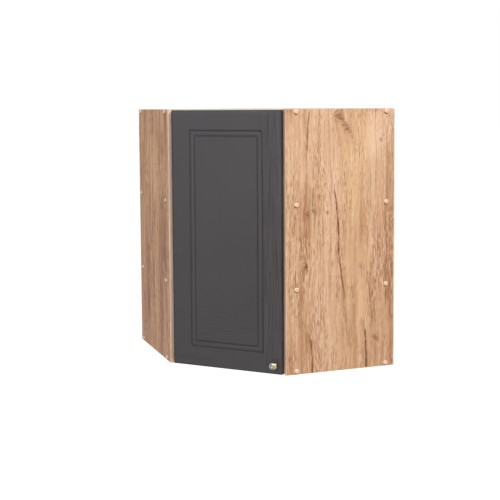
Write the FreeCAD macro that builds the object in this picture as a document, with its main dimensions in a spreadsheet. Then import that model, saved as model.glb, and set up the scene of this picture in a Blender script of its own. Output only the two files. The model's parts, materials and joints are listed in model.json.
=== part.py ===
import FreeCAD, Part
import os
import re
import Sketcher

# Corner wall cabinet with a diagonal door, millimetres, +Z up.
# The origin is the room corner at the cabinet's underside: one wall is the plane y = 0,
# the other the plane x = 0, and the cabinet fills the quarter where x and y are negative.
# The left end panel stands away from the corner along x, the right one along y.

Vector = FreeCAD.Vector
Rotation = FreeCAD.Rotation
Placement = FreeCAD.Placement

doc = FreeCAD.newDocument("corner_wall_cabinet")

# ---------------------------------------------------------------- sizes

DRIVING = {
    # carcass
    "wall_length": 580,
    "end_depth": 328,
    "cabinet_height": 720,
    "board": 16,
    "back_board": 3,
    "band": 0.8,
    "front_setback": 4.5,
    "lower_shelf_middle": 232,
    "upper_shelf_middle": 462,
    # assembly screws and their caps
    "front_column": 32,
    "rear_column": 27,
    "joint_head_radius": 5,
    "joint_neck_radius": 3.5,
    "joint_core_radius": 2.5,
    "joint_screw_length": 50,
    "joint_tip": 3,
    "socket_flats": 4,
    "socket_depth": 4,
    "cap_radius": 7,
    "cap_height": 3.4,
    "cap_round": 3.1,
    "cap_stem_radius": 1.9,
    "cap_stem_length": 3,
    "fit_gap": 0.05,
    # nails of the back panels
    "nail_radius": 0.8,
    "nail_head_radius": 1.6,
    "nail_head_height": 0.6,
    "nail_length": 20,
    "nail_from_corner": 60,
    "nail_from_notch": 16,
    "nail_above_foot": 60,
    "nail_below_ledge": 28,
    # wall hangers
    "hanger_width": 60,
    "hanger_height": 48,
    "hanger_thickness": 2,
    "hanger_margin": 2,
    "hanger_corner": 4,
    "hanger_notch_gap": 2,
    "keyhole_radius": 5,
    "keyhole_slot": 5,
    "keyhole_rise": 9,
    "keyhole_across": 38,
    "keyhole_below_top": 30,
    "small_screw_radius": 1.75,
    "small_head_radius": 3.5,
    "small_screw_length": 13,
    "small_screw_tip": 2,
    "pan_head_height": 1.6,
    "small_slot_width": 0.9,
    "small_slot_depth": 0.8,
    "hanger_screw_first": 30,
    "hanger_screw_pitch": 18,
    "hanger_column_first": 8,
    "hanger_column_pitch": 18,
    # door
    "door_thickness": 16,
    "door_reveal": 2,
    "door_side_margin": 13.7,
    "door_free_margin": 10.4,
    "door_gap": 1.2,
    "door_arris": 10,
    "door_arris_drop": 1.6,
    "door_edge_round": 1.2,
    "frame_width": 53,
    "groove_depth": 3.2,
    "groove_flank": 2.8,
    "groove_floor": 0.8,
    "groove_corner": 5,
    "bead_width": 14.2,
    "bead_drop": 0.3,
    "bead_radius": 10.2,
    "cutter_rise": 1,
    # knob
    "knob_from_edge": 19.5,
    "knob_from_end": 25,
    "rosette_radius": 9,
    "rosette_height": 1.6,
    "knob_foot_radius": 6.5,
    "knob_foot_height": 3,
    "knob_neck_radius": 4,
    "knob_head_radius": 11,
    "knob_head_half": 6,
    "knob_head_middle": 15,
    "knob_ring_radius": 5.2,
    "knob_ring_wire": 0.9,
    "knob_screw_radius": 2,
    "knob_screw_grip": 8,
    "knob_screw_head_radius": 4,
    "knob_screw_head_height": 2.2,
    # door buffers
    "buffer_radius": 4,
    "buffer_play": 0.3,
    "buffer_from_edge": 14,
    # hinges
    "hinge_from_end": 98,
    "cup_radius": 17.5,
    "cup_gap": 0.1,
    "cup_depth": 12,
    "cup_rim": 3.5,
    "cup_wall": 0.8,
    "cup_mouth_width": 15,
    "flange_thickness": 1,
    "flange_rim": 2.5,
    "wing_half": 7,
    "cup_screw_pitch": 48,
    "cup_screw_offset": 6,
    "pin_from_edge": 9.8,
    "pin_depth": 7.7,
    "pin_radius": 1.5,
    "pin_length": 24,
    "pin_gap": 0.05,
    "eye_radius": 3,
    "arm_thickness": 2.4,
    "arm_width": 13,
    "hook_reach": 12,
    "hook_slope": 1.2,
    "hook_width": 13,
    "hook_drop": 11.6,
    "arm_height": 14,
    "arm_start": 6,
    "arm_end": 62,
    "arm_flange": 1.5,
    "arm_flange_start": 10,
    "arm_foot_gap": 4,
    "rail_start": 16,
    "rail_end": 60,
    "rail_gap": 0.2,
    "plate_setback": 37,
    "plate_thickness": 2,
    "plate_screw_pitch": 32,
    "plate_wing_half": 8,
    "adjuster_radius": 2,
    "adjuster_head_radius": 3.6,
    "adjuster_head_height": 1.6,
    "adjuster_length": 9,
    "adjuster_front": 24,
    "adjuster_rear": 50,
}

DERIVED = {
    # between the end panels' outer front corners, in plan
    "diagonal": "sqrt(2)*(wall_length-end_depth)",
    "inner_length": "wall_length-board",
    "half_board": "board/2",
    "top_middle": "cabinet_height-board/2",
    "front_hole": "end_depth-front_column",
    # door: across counts from the left end panel's outer corner, inward from the line
    # between the two outer corners
    "door_width": "diagonal-door_side_margin-door_free_margin",
    "door_height": "cabinet_height-2*door_reveal",
    "door_back": "board/sqrt(2)-door_gap",
    "door_face": "door_thickness-door_back",
    "knob_across": "door_side_margin+door_width-knob_from_edge",
    "knob_level": "door_reveal+knob_from_end",
    "buffer_across": "door_side_margin+door_width-buffer_from_edge",
    "buffer_thickness": "door_gap+front_setback-buffer_play",
    "lower_hinge": "door_reveal+hinge_from_end",
    "upper_hinge": "cabinet_height-door_reveal-hinge_from_end",
    "groove_path": "frame_width+groove_corner",
    # hinge pin and cup
    "cup_across": "door_side_margin+cup_rim+cup_radius",
    "pin_across": "door_side_margin+pin_from_edge",
    "pin_inward": "door_back-pin_depth",
    "arm_face": "board+arm_height+arm_thickness/2",
    "plate_level": "board+plate_thickness",
    # hangers
    "hanger_outer": "wall_length-hanger_margin",
    "hanger_inner": "wall_length-hanger_margin-hanger_width",
    "hanger_top": "cabinet_height-hanger_margin",
    "hanger_foot": "cabinet_height-hanger_margin-hanger_height",
    "keyhole_across_wall": "wall_length-keyhole_across",
    "keyhole_level": "cabinet_height-keyhole_below_top",
    "hanger_seat": "back_board-hanger_thickness",
    "notch_edge": "hanger_inner-hanger_notch_gap",
    "notch_ledge": "hanger_foot-hanger_notch_gap",
    # nails: rows along the four levels, columns up the end panels
    "nail_row": "notch_edge-nail_from_notch-nail_from_corner",
    "nail_column": "notch_ledge-nail_below_ledge-nail_above_foot",
}

sheet = doc.addObject("Spreadsheet::Sheet", "Sizes")
for row, (alias, value) in enumerate(list(DRIVING.items()) + list(DERIVED.items()), start=1):
    sheet.set("A%d" % row, alias)
    sheet.set("B%d" % row, "=" + value if isinstance(value, str) else str(value))
    sheet.setAlias("B%d" % row, alias)
doc.recompute()

KNOWN = set(DRIVING) | set(DERIVED)
NODES = []

LEVELS = {
    "bottom_panel": "half_board",
    "shelf_lower": "lower_shelf_middle",
    "shelf_upper": "upper_shelf_middle",
    "top_panel": "top_middle",
}
HINGES = {"lower": "lower_hinge", "upper": "upper_hinge"}
ADJUSTERS = ("adjuster_front", "adjuster_rear")

UP = Vector(0, 0, 1)
INTO_CABINET = Vector(1, 0, 0)
OUTWARD = Vector(-1, -1, 0)
ALONG_DOOR = Rotation(UP, -45)
TINY = 1e-4

# ---------------------------------------------------------------- helpers


def bound(text):
    """The expression with each size's name led by its sheet."""
    return re.sub(r"[a-z_]+", lambda m: ("Sizes." if m[0] in KNOWN else "") + m[0], str(text))


def number(text):
    """The present value of an expression."""
    return float(sheet.evalExpression(bound(text)))


def bind(thing, **properties):
    """Tie properties to expressions; a double underscore in a name stands for a dot."""
    for name, text in properties.items():
        thing.setExpression(name.replace("__", "."), bound(text))


def place(thing, x="0", y="0", z="0", rotation=None):
    """Put an object at a bound position, turned by a fixed rotation."""
    if rotation is not None:
        thing.Placement = Placement(Vector(), rotation)
    bind(thing, Placement__Base__x=x, Placement__Base__y=y, Placement__Base__z=z)


def node(label, thing):
    """Name a finished piece, or group of like pieces, that is written out."""
    thing.Label = label
    NODES.append(thing)
    return thing


def new(kind, label="form"):
    return doc.addObject(kind, label)


def sketch(body, plane, offset="0"):
    """A sketch on one of the body's own origin planes, moved along the plane's normal."""
    made = body.newObject("Sketcher::SketchObject", "outline")
    made.AttachmentSupport = [(p, "") for p in body.Origin.OriginFeatures if p.Role == plane]
    made.MapMode = "FlatFace"
    bind(made, AttachmentOffset__Base__z=offset)
    return made


def polygon(target, corners, arcs=None):
    """A closed outline of straight edges, or arcs, through corners bound in x and y."""
    arcs = arcs or {}
    spots = [Vector(number(x), number(y), 0) for x, y in corners]
    first = target.GeometryCount
    count = len(corners)
    for i in range(count):
        start, end = spots[i], spots[(i + 1) % count]
        if i not in arcs:
            target.addGeometry(Part.LineSegment(start, end), False)
            continue
        # a minor arc that turns to the left on its way bulges to the right
        radius, side = number(arcs[i][0]), arcs[i][1]
        chord = end - start
        middle = (start + end) / 2
        normal = Vector(-chord.y, chord.x, 0).normalize()
        height = radius - (radius**2 - (chord.Length / 2) ** 2) ** 0.5
        target.addGeometry(Part.Arc(start, middle - normal * height * side, end), False)
    for i in range(count):
        edge = first + i
        ends = (edge, 1) if i not in arcs or arcs[i][1] > 0 else (edge, 2)
        for kind, text in zip(("DistanceX", "DistanceY"), corners[i]):
            rule = target.addConstraint(Sketcher.Constraint(kind, -1, 1, *ends, number(text)))
            target.setExpression("Constraints[%d]" % rule, bound(text))
    for i in range(count):
        after = (i + 1) % count
        end = 2 if i not in arcs or arcs[i][1] > 0 else 1
        start = 1 if after not in arcs or arcs[after][1] > 0 else 2
        target.addConstraint(
            Sketcher.Constraint("Coincident", first + i, end, first + after, start)
        )
    for i, (radius, side) in arcs.items():
        rule = target.addConstraint(Sketcher.Constraint("Radius", first + i, number(radius)))
        target.setExpression("Constraints[%d]" % rule, bound(radius))


def rectangle(target, x_low, x_high, y_low, y_high):
    polygon(target, [(x_low, y_low), (x_high, y_low), (x_high, y_high), (x_low, y_high)])


def circles(target, centres, radius):
    for x, y in centres:
        middle = Vector(number(x), number(y), 0)
        edge = target.addGeometry(
            Part.Circle(middle, Vector(0, 0, 1), number(radius)), False
        )
        for kind, text in (("DistanceX", x), ("DistanceY", y)):
            rule = target.addConstraint(
                Sketcher.Constraint(kind, -1, 1, edge, 3, number(text))
            )
            target.setExpression("Constraints[%d]" % rule, bound(text))
        rule = target.addConstraint(Sketcher.Constraint("Radius", edge, number(radius)))
        target.setExpression("Constraints[%d]" % rule, bound(radius))


def pad(body, profile, length, against=False):
    made = body.newObject("PartDesign::Pad", "pad")
    made.Profile = profile
    made.Reversed = against
    bind(made, Length=length)
    doc.recompute()
    return made


def pocket(body, profile, depth, against=False):
    """A cut that must take material away."""
    before = body.Shape.Volume
    made = body.newObject("PartDesign::Pocket", "pocket")
    made.Profile = profile
    made.Reversed = against
    bind(made, Length=depth)
    doc.recompute()
    if not body.Shape.Volume < before:
        raise RuntimeError("a pocket of %s cuts nothing" % body.Label)
    return made


def countersunk(body, profile, radius, head_radius, against=False):
    """Through holes with a 90 degree countersink."""
    before = body.Shape.Volume
    made = body.newObject("PartDesign::Hole", "holes")
    made.Profile = profile
    doc.recompute()
    made.DepthType = "ThroughAll"
    made.HoleCutType = "Countersink"
    made.HoleCutCountersinkAngle = 90
    made.DrillPoint = "Flat"
    made.Reversed = against
    bind(made, Diameter="2*(%s)" % radius, HoleCutDiameter="2*(%s)" % head_radius)
    doc.recompute()
    if not body.Shape.Volume < before:
        raise RuntimeError("a hole of %s cuts nothing" % body.Label)
    return made


def edges(shape, wanted):
    return ["Edge%d" % (i + 1) for i, edge in enumerate(shape.Edges) if wanted(edge)]


def round_edges(body, wanted, radius):
    base = body.Tip
    made = body.newObject("PartDesign::Fillet", "round")
    made.Base = (base, edges(base.Shape, wanted))
    bind(made, Radius=radius)
    doc.recompute()
    return made


def turned(label, outline):
    """A body of revolution about its own Z axis, from (radius, height) corners."""
    body = new("PartDesign::Body", label)
    profile = sketch(body, "XZ_Plane")
    polygon(profile, outline)
    made = body.newObject("PartDesign::Revolution", "turning")
    made.Profile = profile
    made.ReferenceAxis = (profile, ["V_Axis"])
    made.Angle = 360
    doc.recompute()
    return body


def box(x_low, x_high, y_low, y_high, z_low, z_high):
    made = new("Part::Box", "block")
    bind(
        made,
        Length="(%s)-(%s)" % (x_high, x_low),
        Width="(%s)-(%s)" % (y_high, y_low),
        Height="(%s)-(%s)" % (z_high, z_low),
    )
    place(made, x_low, y_low, z_low)
    return made


def rod(radius, length, x="0", y="0", z="0", along=UP):
    """A cylinder that starts at a bound point and runs along a direction."""
    made = new("Part::Cylinder", "rod")
    bind(made, Radius=radius, Height=length)
    place(made, x, y, z, Rotation(UP, along))
    return made


def strip(start, end, thickness, width):
    """A flat bar from one bound point to another in plan, centred on its own height."""
    (x_one, y_one), (x_two, y_two) = start, end
    made = new("Part::Box", "strip")
    run = "((%s)-(%s))" % (x_two, x_one)
    rise = "((%s)-(%s))" % (y_two, y_one)
    turn = "atan2(%s;%s)" % (rise, run)
    made.Placement = Placement(Vector(), Rotation(UP, 1))
    bind(
        made,
        Length="sqrt(%s^2+%s^2)" % (run, rise),
        Width=thickness,
        Height=width,
        Placement__Base__x="(%s)+(%s)/2*sin(%s)" % (x_one, thickness, turn),
        Placement__Base__y="(%s)-(%s)/2*cos(%s)" % (y_one, thickness, turn),
        Placement__Base__z="-(%s)/2" % width,
        Placement__Rotation__Angle=turn,
    )
    return made


def fused(*shapes):
    made = new("Part::MultiFuse", "joined")
    made.Shapes = list(shapes)
    made.Refine = True
    return made


def less(base, *tools):
    made = new("Part::Cut", "trimmed")
    made.Base = base
    made.Tool = tools[0] if len(tools) == 1 else fused(*tools)
    made.Refine = True
    return made


def group(label, piece, spots, along):
    """Like pieces at bound places, each with its own +Z axis laid along a direction."""
    copies = []
    for x, y, z in spots:
        link = new("App::Link", "copy")
        link.LinkedObject = piece
        place(link, x, y, z, Rotation(UP, along))
        copies.append(link)
    made = new("Part::Compound", label)
    made.Links = copies
    return node(label, made)


def from_left_corner(thing, across="0", inward="0", level="0", rotation=ALONG_DOOR):
    """Place a piece of the door by its distance across the door and into the cabinet."""
    place(
        thing,
        "-wall_length+((%s)+(%s))/sqrt(2)" % (across, inward),
        "-end_depth+((%s)-(%s))/sqrt(2)" % (inward, across),
        level,
        rotation,
    )
    return thing


# ---------------------------------------------------------------- carcass

NAIL_LEVELS = ["nail_above_foot+%d/4*nail_column" % i for i in range(5)]
NAIL_ROW = ["nail_from_corner+%d/2*nail_row" % i for i in range(3)]
HANGER_ROW = ["wall_length-hanger_screw_first-%d*hanger_screw_pitch" % i for i in range(2)]
HANGER_COLUMN = ["hanger_foot+hanger_column_first+%d*hanger_column_pitch" % i for i in range(2)]


def joint_holes():
    return [(x, level) for level in LEVELS.values() for x in ("-front_hole", "-rear_column")]


def end_panel(side):
    """An upright end panel; its outer face lies on the body's own sketch plane."""
    left = side == "left"
    body = new("PartDesign::Body", "side_panel_" + side)
    face_plane, edge_plane = ("YZ_Plane", "XZ_Plane") if left else ("XZ_Plane", "YZ_Plane")
    blank = sketch(body, face_plane)
    rectangle(blank, "-(end_depth-band)", "-back_board", "0", "cabinet_height")
    pad(body, blank, "board", against=not left)
    screws = sketch(body, face_plane)
    circles(screws, joint_holes(), "joint_neck_radius+fit_gap")
    countersunk(
        body, screws, "joint_neck_radius+fit_gap", "joint_head_radius+fit_gap", against=left
    )
    rear = sketch(body, edge_plane, "back_board" if left else "-back_board")
    circles(rear, [("half_board", z) for z in NAIL_LEVELS], "nail_radius+fit_gap")
    pocket(body, rear, "nail_length", against=left)
    rear = sketch(body, edge_plane, "back_board" if left else "-back_board")
    circles(rear, [("half_board", z) for z in HANGER_COLUMN], "small_screw_radius+fit_gap")
    pocket(body, rear, "small_screw_length", against=left)
    if left:
        plates = sketch(body, face_plane, "board")
        centres = [
            ("-end_depth+plate_setback", "%s%s plate_screw_pitch/2" % (level, sign))
            for level in HINGES.values()
            for sign in "-+"
        ]
        circles(plates, centres, "small_screw_radius+fit_gap")
        pocket(body, plates, "small_screw_length-plate_thickness+fit_gap")
        place(body, x="-wall_length")
    else:
        place(body, y="-wall_length")
    return node(body.Label, body)


def end_bands():
    left = box(
        "-wall_length", "-inner_length", "-end_depth", "-end_depth+band", "0", "cabinet_height"
    )
    node("edge_band_side_left", left)
    right = box(
        "-end_depth", "-end_depth+band", "-wall_length", "-inner_length", "0", "cabinet_height"
    )
    node("edge_band_side_right", right)


def level_panel(label):
    """A five-cornered panel between the end panels, with its screw and nail holes."""
    low = "%s-half_board" % LEVELS[label]
    # the panel's front line is where x + y = -front
    front = "(end_depth+inner_length-(band+front_setback)*sqrt(2))"
    body = new("PartDesign::Body", label)
    plan = sketch(body, "XY_Plane")
    corners = [
        ("-back_board", "-back_board"),
        ("-inner_length", "-back_board"),
        ("-inner_length", "inner_length-%s" % front),
        ("inner_length-%s" % front, "-inner_length"),
        ("-back_board", "-inner_length"),
    ]
    polygon(plan, corners)
    pad(body, plan, "board")
    depth = "joint_screw_length-board+fit_gap"
    for plane, offset, against in (
        ("YZ_Plane", "-inner_length", True),
        ("XZ_Plane", "inner_length", False),
    ):
        pilots = sketch(body, plane, offset)
        circles(
            pilots,
            [("-front_hole", "half_board"), ("-rear_column", "half_board")],
            "joint_core_radius+fit_gap",
        )
        pocket(body, pilots, depth, against)
    for plane, offset, against in (
        ("XZ_Plane", "back_board", True),
        ("YZ_Plane", "-back_board", False),
    ):
        nails = sketch(body, plane, offset)
        circles(nails, [("-(%s)" % x, "half_board") for x in NAIL_ROW], "nail_radius+fit_gap")
        pocket(body, nails, "nail_length", against)
        if label == "top_panel":
            screws = sketch(body, plane, offset)
            centres = [("-(%s)" % x, "half_board") for x in HANGER_ROW]
            circles(screws, centres, "small_screw_radius+fit_gap")
            pocket(body, screws, "small_screw_length", against)
    place(body, z=low)
    node(label, body)
    front_band(label, front, low)


def front_band(label, front, low):
    """The strip glued to a panel's diagonal front edge."""
    outer = "(%s+band*sqrt(2))" % front
    body = new("PartDesign::Body", "edge_band_" + label)
    plan = sketch(body, "XY_Plane")
    corners = [
        ("-inner_length", "inner_length-%s" % front),
        ("-inner_length", "inner_length-%s" % outer),
        ("inner_length-%s" % outer, "-inner_length"),
        ("inner_length-%s" % front, "-inner_length"),
    ]
    polygon(plan, corners)
    pad(body, plan, "board")
    place(body, z=low)
    node("edge_band_" + label, body)


def back_panel(side):
    """A thin back on the rear edges, cut out at its outer top corner for the hanger."""
    left = side == "left"
    body = new("PartDesign::Body", "back_panel_" + side)
    plane = "XZ_Plane" if left else "YZ_Plane"
    inner = "-back_board" if left else "0"
    room_side = sketch(body, plane, "back_board" if left else "-back_board")
    corners = [
        ("-wall_length", "0"),
        (inner, "0"),
        (inner, "cabinet_height"),
        ("-notch_edge", "cabinet_height"),
        ("-notch_edge", "notch_ledge"),
        ("-wall_length", "notch_ledge"),
    ]
    polygon(room_side, corners)
    pad(body, room_side, "back_board", against=left)
    centres = [("-(%s)" % x, level) for x in NAIL_ROW for level in LEVELS.values()]
    centres += [("-inner_length-half_board", level) for level in NAIL_LEVELS]
    shanks = sketch(body, plane)
    circles(shanks, centres, "nail_radius+fit_gap")
    pocket(body, shanks, "back_board", against=left)
    heads = sketch(body, plane)
    circles(heads, centres, "nail_head_radius+fit_gap")
    pocket(body, heads, "nail_head_height", against=left)
    return node(body.Label, body)


# ---------------------------------------------------------------- carcass fasteners


def joint_screw():
    """A shouldered assembly screw with a hexagon socket, its head at z = 0."""
    body = turned(
        "joint_screw",
        [
            ("0", "0"),
            ("joint_head_radius", "0"),
            ("joint_neck_radius", "joint_head_radius-joint_neck_radius"),
            ("joint_neck_radius", "board"),
            ("joint_core_radius", "board"),
            ("joint_core_radius", "joint_screw_length-joint_tip"),
            ("0", "joint_screw_length"),
        ],
    )
    socket = sketch(body, "XY_Plane")
    half = "socket_flats/2"
    reach = "socket_flats/sqrt(3)"
    polygon(
        socket,
        [
            (reach, "0"),
            ("%s/2" % reach, half),
            ("-%s/2" % reach, half),
            ("-%s" % reach, "0"),
            ("-%s/2" % reach, "-%s" % half),
            ("%s/2" % reach, "-%s" % half),
        ],
    )
    pocket(body, socket, "socket_depth", against=True)
    return body


def screw_cap():
    """A press-in cap: a low dome outside the panel and a stem for the screw's socket."""
    body = turned(
        "screw_cap",
        [
            ("0", "-cap_height"),
            ("cap_radius", "-cap_height"),
            ("cap_radius", "0"),
            ("cap_stem_radius", "0"),
            ("cap_stem_radius", "cap_stem_length"),
            ("0", "cap_stem_length"),
        ],
    )
    top = -number("cap_height")
    round_edges(body, lambda e: e.Closed and abs(e.CenterOfMass.z - top) < TINY, "cap_round")
    return body


def nail():
    return turned(
        "nail",
        [
            ("0", "0"),
            ("nail_head_radius", "0"),
            ("nail_head_radius", "nail_head_height"),
            ("nail_radius", "nail_head_height"),
            ("nail_radius", "nail_length-nail_radius"),
            ("0", "nail_length"),
        ],
    )


def small_screw():
    """A slotted countersunk wood screw, its head at z = 0."""
    body = turned(
        "small_screw",
        [
            ("0", "0"),
            ("small_head_radius", "0"),
            ("small_screw_radius", "small_head_radius-small_screw_radius"),
            ("small_screw_radius", "small_screw_length-small_screw_tip"),
            ("0", "small_screw_length"),
        ],
    )
    return slotted(body, "small_head_radius", "0")


def slotted(body, head_radius, top):
    """Cut the screwdriver's slot into a head whose top lies at a height."""
    slot = sketch(body, "XY_Plane", top)
    half = "small_slot_width/2"
    rectangle(slot, "-" + head_radius, head_radius, "-" + half, half)
    pocket(body, slot, "small_slot_depth", against=True)
    return body


def carcass_fasteners():
    screw, cap, pin = joint_screw(), screw_cap(), nail()
    columns = ("-front_hole", "-rear_column")
    left = [("-wall_length", y, z) for z in LEVELS.values() for y in columns]
    right = [(x, "-wall_length", z) for z in LEVELS.values() for x in columns]
    group("assembly_screws_left", screw, left, Vector(1, 0, 0))
    group("assembly_screws_right", screw, right, Vector(0, 1, 0))
    group("screw_caps_left", cap, left, Vector(1, 0, 0))
    group("screw_caps_right", cap, right, Vector(0, 1, 0))
    column = "-inner_length-half_board"
    spots = [("-(%s)" % x, z) for x in NAIL_ROW for z in LEVELS.values()]
    spots += [(column, z) for z in NAIL_LEVELS]
    group("back_nails_left", pin, [(x, "0", z) for x, z in spots], Vector(0, -1, 0))
    group("back_nails_right", pin, [("0", y, z) for y, z in spots], Vector(-1, 0, 0))


# ---------------------------------------------------------------- wall hangers


def hanger_places():
    """Screw centres of a hanger plate as (distance along the wall, height)."""
    places = [("-(%s)" % x, "top_middle") for x in HANGER_ROW]
    return places + [("-inner_length-half_board", z) for z in HANGER_COLUMN]


def hanger_plate(side):
    """A steel plate with a keyhole, let into the back's notch on the rear edges."""
    left = side == "left"
    body = new("PartDesign::Body", "hanger_plate_" + side)
    plane = "XZ_Plane" if left else "YZ_Plane"
    blank = sketch(body, plane)
    rectangle(blank, "-hanger_outer", "-hanger_inner", "hanger_foot", "hanger_top")
    pad(body, blank, "hanger_thickness", against=not left)
    thickness = number("hanger_thickness")
    round_edges(body, lambda e: abs(e.Length - thickness) < TINY, "hanger_corner")
    # the screws go in from the wall side, which is the sketch plane
    screws = sketch(body, plane)
    circles(screws, hanger_places(), "small_screw_radius+fit_gap")
    heads = "small_head_radius+fit_gap"
    countersunk(body, screws, "small_screw_radius+fit_gap", heads, against=left)
    mouth = sketch(body, plane)
    circles(mouth, [("-keyhole_across_wall", "keyhole_level")], "keyhole_radius")
    pocket(body, mouth, "hanger_thickness", against=left)
    slot = sketch(body, plane)
    rectangle(
        slot,
        "-keyhole_across_wall-keyhole_slot/2",
        "-keyhole_across_wall+keyhole_slot/2",
        "keyhole_level",
        "keyhole_level+keyhole_rise",
    )
    pocket(body, slot, "hanger_thickness", against=left)
    if left:
        place(body, y="-hanger_seat")
    else:
        place(body, x="-hanger_seat")
    return node(body.Label, body)


def hanger_screws(screw):
    spots = hanger_places()
    left = [(x, "-hanger_seat", z) for x, z in spots]
    right = [("-hanger_seat", y, z) for y, z in spots]
    group("hanger_screws_left", screw, left, Vector(0, -1, 0))
    group("hanger_screws_right", screw, right, Vector(-1, 0, 0))


# ---------------------------------------------------------------- door


def door():
    """The milled door front; the body's y = 0 plane is its inner face."""
    body = new("PartDesign::Body", "door_panel")
    blank = sketch(body, "XZ_Plane")
    rectangle(blank, "0", "door_width", "0", "door_height")
    pad(body, blank, "door_thickness")
    face = -number("door_thickness")
    rim = number("door_arris_drop-door_thickness")

    def on_face(edge):
        return abs(edge.BoundBox.YMax - face) < TINY

    def on_rim(edge):
        return abs(edge.BoundBox.YMin - rim) < TINY and abs(edge.BoundBox.YMax - rim) < TINY

    # sloped border round the face
    base = body.Tip
    arris = body.newObject("PartDesign::Chamfer", "arris")
    arris.Base = (base, edges(base.Shape, on_face))
    arris.ChamferType = "Two distances"
    bind(arris, Size="door_arris_drop", Size2="door_arris")
    doc.recompute()
    round_edges(body, on_rim, "door_edge_round")
    mill_frame(body)
    cups = sketch(body, "XZ_Plane")
    levels = ["%s-door_reveal" % level for level in HINGES.values()]
    across = "cup_across-door_side_margin"
    circles(cups, [(across, level) for level in levels], "cup_radius")
    pocket(body, cups, "cup_depth", against=True)
    pilots = sketch(body, "XZ_Plane")
    centres = [
        ("%s+cup_screw_offset" % across, "%s%scup_screw_pitch/2" % (level, sign))
        for level in levels
        for sign in "-+"
    ]
    circles(pilots, centres, "small_screw_radius+fit_gap")
    pocket(body, pilots, "small_screw_length-flange_thickness+fit_gap", against=True)
    hole = sketch(body, "XZ_Plane")
    centre = ("door_width-knob_from_edge", "knob_from_end")
    circles(hole, [centre], "knob_screw_radius+fit_gap")
    pocket(body, hole, "door_thickness", against=True)
    from_left_corner(body, "door_side_margin", "door_back", "door_reveal")
    node("door_panel", body)


def mill_frame(body):
    """Two grooves with a rounded bead between them, milled round the door's face."""
    middle = "door_width/2"
    path = sketch(body, "XZ_Plane", "door_thickness")
    far_x, far_z = "door_width-groove_path", "door_height-groove_path"
    polygon(
        path,
        [
            (middle, "groove_path"),
            (far_x, "groove_path"),
            (far_x, far_z),
            ("groove_path", far_z),
            ("groove_path", "groove_path"),
        ],
    )
    cutter = sketch(body, "YZ_Plane", middle)
    # the cutter's outline: x is depth behind the face, y is height from the door's end
    face, floor = "-door_thickness", "-door_thickness+groove_depth"
    outer = "frame_width"
    bead = "(%s+groove_flank+groove_floor)" % outer
    after = "(%s+bead_width)" % bead
    end = "(%s+groove_flank+groove_floor)" % after
    crown = "-door_thickness+bead_drop"
    above = "-door_thickness-cutter_rise"
    polygon(
        cutter,
        [
            (face, outer),
            (floor, "%s+groove_flank" % outer),
            (floor, bead),
            (crown, "%s+bead_width/2" % bead),
            (floor, after),
            (floor, "%s+groove_floor" % after),
            (face, end),
            (above, end),
            (above, outer),
        ],
        arcs={2: ("bead_radius", -1), 3: ("bead_radius", -1)},
    )
    sweep = body.newObject("PartDesign::SubtractivePipe", "milling")
    sweep.Profile = cutter
    sweep.Spine = path
    sweep.Transition = "Round corner"
    doc.recompute()


def knob():
    """A turned knob with a rosette, its foot on the door's face; +Z points outward."""
    rosette = rod("rosette_radius", "rosette_height")
    foot = new("Part::Cone", "foot")
    bind(foot, Radius1="knob_foot_radius", Radius2="knob_neck_radius", Height="knob_foot_height")
    place(foot, z="rosette_height")
    neck = rod("knob_neck_radius", "knob_head_middle")
    head = new("Part::Ellipsoid", "head")
    bind(head, Radius1="knob_head_half", Radius2="knob_head_radius", Radius3="knob_head_radius")
    place(head, z="knob_head_middle")
    ring = new("Part::Torus", "ring")
    bind(ring, Radius1="knob_ring_radius", Radius2="knob_ring_wire")
    place(
        ring,
        z="knob_head_middle+knob_head_half*sqrt(1-(knob_ring_radius/knob_head_radius)^2)",
    )
    thread = rod("knob_screw_radius+fit_gap", "knob_screw_grip+fit_gap")
    made = less(fused(rosette, foot, neck, head, ring), thread)
    lay_on_door(made, "knob_across", "-door_face", "knob_level")
    node("door_knob", made)
    screw = machine_screw(
        "knob_screw_radius",
        "door_thickness+knob_screw_grip",
        "knob_screw_head_radius",
        "knob_screw_head_height",
    )
    lay_on_door(screw, "knob_across", "door_back", "knob_level")
    node("knob_screw", screw)


def lay_on_door(thing, across, inward, level, along=OUTWARD):
    """Place a piece of the door with its own +Z axis square to the door."""
    from_left_corner(thing, across, inward, level, Rotation(UP, along))


def buffers():
    """Two soft dots on the door's inner face that meet the top and bottom panels."""
    dots = []
    for level in ("half_board", "top_middle"):
        dot = rod("buffer_radius", "buffer_thickness")
        lay_on_door(dot, "buffer_across", "door_back", level, along=-OUTWARD)
        dots.append(dot)
    made = new("Part::Compound", "door_buffers")
    made.Links = dots
    node("door_buffers", made)


# ---------------------------------------------------------------- hinges


def panel_point(across, inward):
    """A point given along and square to the door, in the hinge panel's own x and y."""
    return "((%s)+(%s))/sqrt(2)" % (across, inward), "((%s)-(%s))/sqrt(2)" % (inward, across)


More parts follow.
